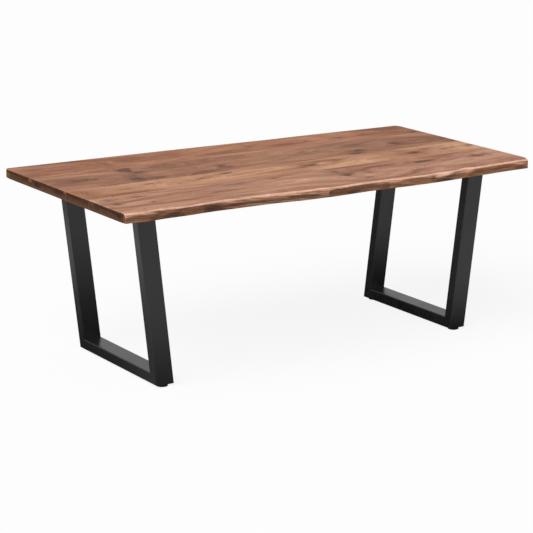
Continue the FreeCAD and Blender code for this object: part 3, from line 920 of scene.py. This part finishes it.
def wood_finish(name, tones, heart, seed, marks, outward=0, edge_marks=()):
    """Oiled hardwood with its own figure and marks."""
    finish, tree = start_material(name + " oiled wood")
    coordinates = add_node(tree, "TexCoord").outputs
    place = coordinates["Object"]
    facing = axes_of(tree, coordinates["Normal"])
    colour, figure, level = figured_colour(tree, place, tones, heart, seed, marks)
    (_, low_y, low_z), (_, high_y, _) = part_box(name)
    if outward:
        colour = live_edge_colour(tree, place, facing, colour, low_z, edge_marks)
    sawn_end = rescale(tree, calc(tree, "ABSOLUTE", facing["X"]), 0.74, 0.95, smooth=True)
    end_colour = end_grain_colour(tree, place, level, outward, low_y, high_y)
    colour = blend_colours(tree, sawn_end, colour, end_colour)

    fibre_tint = grey(tree, rescale(tree, figure["Fibre"], 0.0, 1.0, fibre_dark, fibre_light))
    colour = blend_colours(tree, 1.0, colour, fibre_tint, "MULTIPLY")
    colour = blend_colours(tree, times(tree, figure["Pores"], pore_strength), colour, pore_brown)
    wear = use_group(tree, corner_wear_and_highlight, Place=place, **wood_wear_and_highlight)["Wear"]
    # Paler corners: partly rubbed wood, partly a painted highlight along the arrises.
    colour = blend_colours(tree, times(tree, wear, rub_and_highlight_strength), colour, rubbed_wood_and_highlight)

    uneven = plus(tree, figure["Fibre"], figure["Pores"])
    roughness = plus(tree, rescale(tree, uneven, 0.0, 1.6, oil_smooth, oil_rough),
                     times(tree, sawn_end, rougher_end))
    relief = use_group(tree, wood_figure, Place=place, Bend=0.0, Heart_Y=heart[0], Heart_Z=heart[1],
                       Seed=seed)
    height = minus(tree, times(tree, relief["Fibre"], 0.25), relief["Pores"])
    bump = add_node(tree, "Bump", {"Height": height, "Distance": relief_depth, "Strength": 0.6}).outputs[0]
    shader = add_node(tree, "BsdfPrincipled", {"Base Color": colour, "Roughness": roughness, "Normal": bump,
                                               "IOR": 1.46, "Specular IOR Level": 0.2}).outputs[0]
    add_node(tree, "OutputMaterial", {"Surface": shader})
    return finish


# %% [markdown]
# Each board gets its own three tones, dark, plain and light, and its own place of the trunk's heart,
# from the centre line and up. So the grain doesn't run on from one board to the next, as in a real
# glued top.

# %% Finish the boards
boards = {
    "rear_board": dict(
        tones=((118, 66, 35), (158, 105, 75), (186, 133, 102)), heart=(0.33, 0.52), seed=3.1,
        marks=rear_marks, outward=1),
    "rear_inner_board": dict(
        tones=((118, 72, 44), (162, 113, 85), (191, 138, 109)), heart=(0.10, 0.46), seed=9.3,
        marks=rear_inner_marks),
    "front_inner_board": dict(
        tones=((136, 82, 46), (177, 126, 95), (210, 160, 123)), heart=(-0.09, 0.50), seed=12.4,
        marks=front_inner_marks),
    "front_board": dict(
        tones=((130, 80, 54), (178, 128, 101), (208, 157, 129)), heart=(-0.36, 0.49), seed=21.9,
        marks=front_marks, outward=-1, edge_marks=front_edge_marks),
}


def put_on(finish, piece):
    """Gives a piece one finish all over."""
    piece.data.materials.clear()
    piece.data.materials.append(finish)


live_boards = {"front_board": front_live_board, "rear_board": rear_live_board}
for name, board in boards.items():
    finish = wood_finish(name, **board)
    put_on(finish, nodes[name])
    if name in live_boards:
        put_on(finish, live_boards[name])
print("boards finished", sorted(boards))

# %% [markdown]
# The frames are powder coated: black, satin, with a faint pebbled skin that softens reflections.
# Rubbed corners go slightly grey. Screws, washers, inserts, nuts and studs are blackened or zinc
# plated steel, the pads moulded plastic and the soles rubber. One recipe makes them all, a plain
# colour with clouds, grit and rubbed corners, and each has values of its own.

# %% Coated, plated and moulded surfaces
cloud_dark, cloud_light = 0.88, 1.14
wear_strength, wear_patchiness = 0.45, 0.8
cloud_roughness, grit_roughness = 0.05, 0.06


def coated_finish(name, colour, worn, roughness, clouds, grits, grit_depth, reach, shine=0.5, metal=0.0,
                  thread_pitch=0.0):
    """A surface with clouds, grit, rubbed corners and, on a stud, a thread."""
    finish, tree = start_material(name)
    place = add_node(tree, "TexCoord").outputs["Object"]
    skin = use_group(tree, mottle, Place=place, Cloud_Scale=clouds, Grit_Scale=grits)
    wear = use_group(tree, corner_wear_and_highlight, Place=place, Reach=reach,
                     Patchiness=wear_patchiness)["Wear"]
    low, high = [screen_colour(*[min(255, level * share) for level in colour])
                 for share in (cloud_dark, cloud_light)]
    tint = blend_colours(tree, skin["Cloud"], low, high)
    tint = blend_colours(tree, times(tree, wear, wear_strength), tint, screen_colour(*worn))
    sheen = plus(tree, rescale(tree, skin["Cloud"], 0, 1, roughness - cloud_roughness,
                               roughness + cloud_roughness), times(tree, skin["Grit"], grit_roughness))
    bump = add_node(tree, "Bump", {"Height": skin["Grit"], "Distance": grit_depth,
                                   "Strength": 0.5}).outputs[0]
    if thread_pitch:
        turns = calc(tree, "SINE", times(tree, axes_of(tree, place)["Z"], 2 * math.pi / thread_pitch))
        bump = add_node(tree, "Bump", {"Height": turns, "Distance": 0.2 * thread_pitch,
                                       "Normal": bump}).outputs[0]
    shader = add_node(tree, "BsdfPrincipled", {"Base Color": tint, "Roughness": sheen, "Metallic": metal,
                                               "Normal": bump, "Specular IOR Level": shine}).outputs[0]
    add_node(tree, "OutputMaterial", {"Surface": shader})
    return finish


# %% Finish the frames, the fasteners and the feet
stud_pitch = 0.00125
coatings = {
    "black_powder_coat": dict(
        name="Black powder coat", colour=(19, 19, 20), worn=(60, 60, 60), roughness=0.25,
        clouds=9.0, grits=1400.0, grit_depth=0.0001, reach=0.0025),
    "black_screw_steel": dict(
        name="Blackened screw steel", colour=(58, 57, 56), worn=(130, 128, 124), roughness=0.38,
        clouds=60.0, grits=3000.0, grit_depth=0.00005, reach=0.0008, metal=0.8),
    "zinc_steel": dict(
        name="Zinc plated steel", colour=(176, 176, 172), worn=(214, 214, 210), roughness=0.32,
        clouds=90.0, grits=2600.0, grit_depth=0.00005, reach=0.0008, metal=1.0),
    "black_plastic": dict(
        name="Black moulded plastic", colour=(36, 36, 37), worn=(78, 78, 78), roughness=0.48,
        clouds=40.0, grits=2200.0, grit_depth=0.0001, reach=0.0012, shine=0.4),
    "dark_rubber": dict(
        name="Dark rubber", colour=(30, 30, 30), worn=(70, 69, 67), roughness=0.78,
        clouds=70.0, grits=1800.0, grit_depth=0.0002, reach=0.0012, shine=0.3),
}
finishes = {slot: coated_finish(**values) for slot, values in coatings.items()}
stud_values = {**coatings["zinc_steel"], "name": "Threaded zinc plated steel", "thread_pitch": stud_pitch}
stud_steel = coated_finish(**stud_values)
for row in frame["record"]["subparts"]:
    if row["material_slot"] in finishes:
        finish = stud_steel if row["node"].endswith("foot_stud") else finishes[row["material_slot"]]
        put_on(finish, nodes[row["node"]])

# %% [markdown]
# The finish must not change the table's size, so the box of the solids and that of what shows are
# written down.

# %% Measure and finish
low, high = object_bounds()
print("visual box", [round(v, 4) for v in low], [round(v, 4) for v in high])
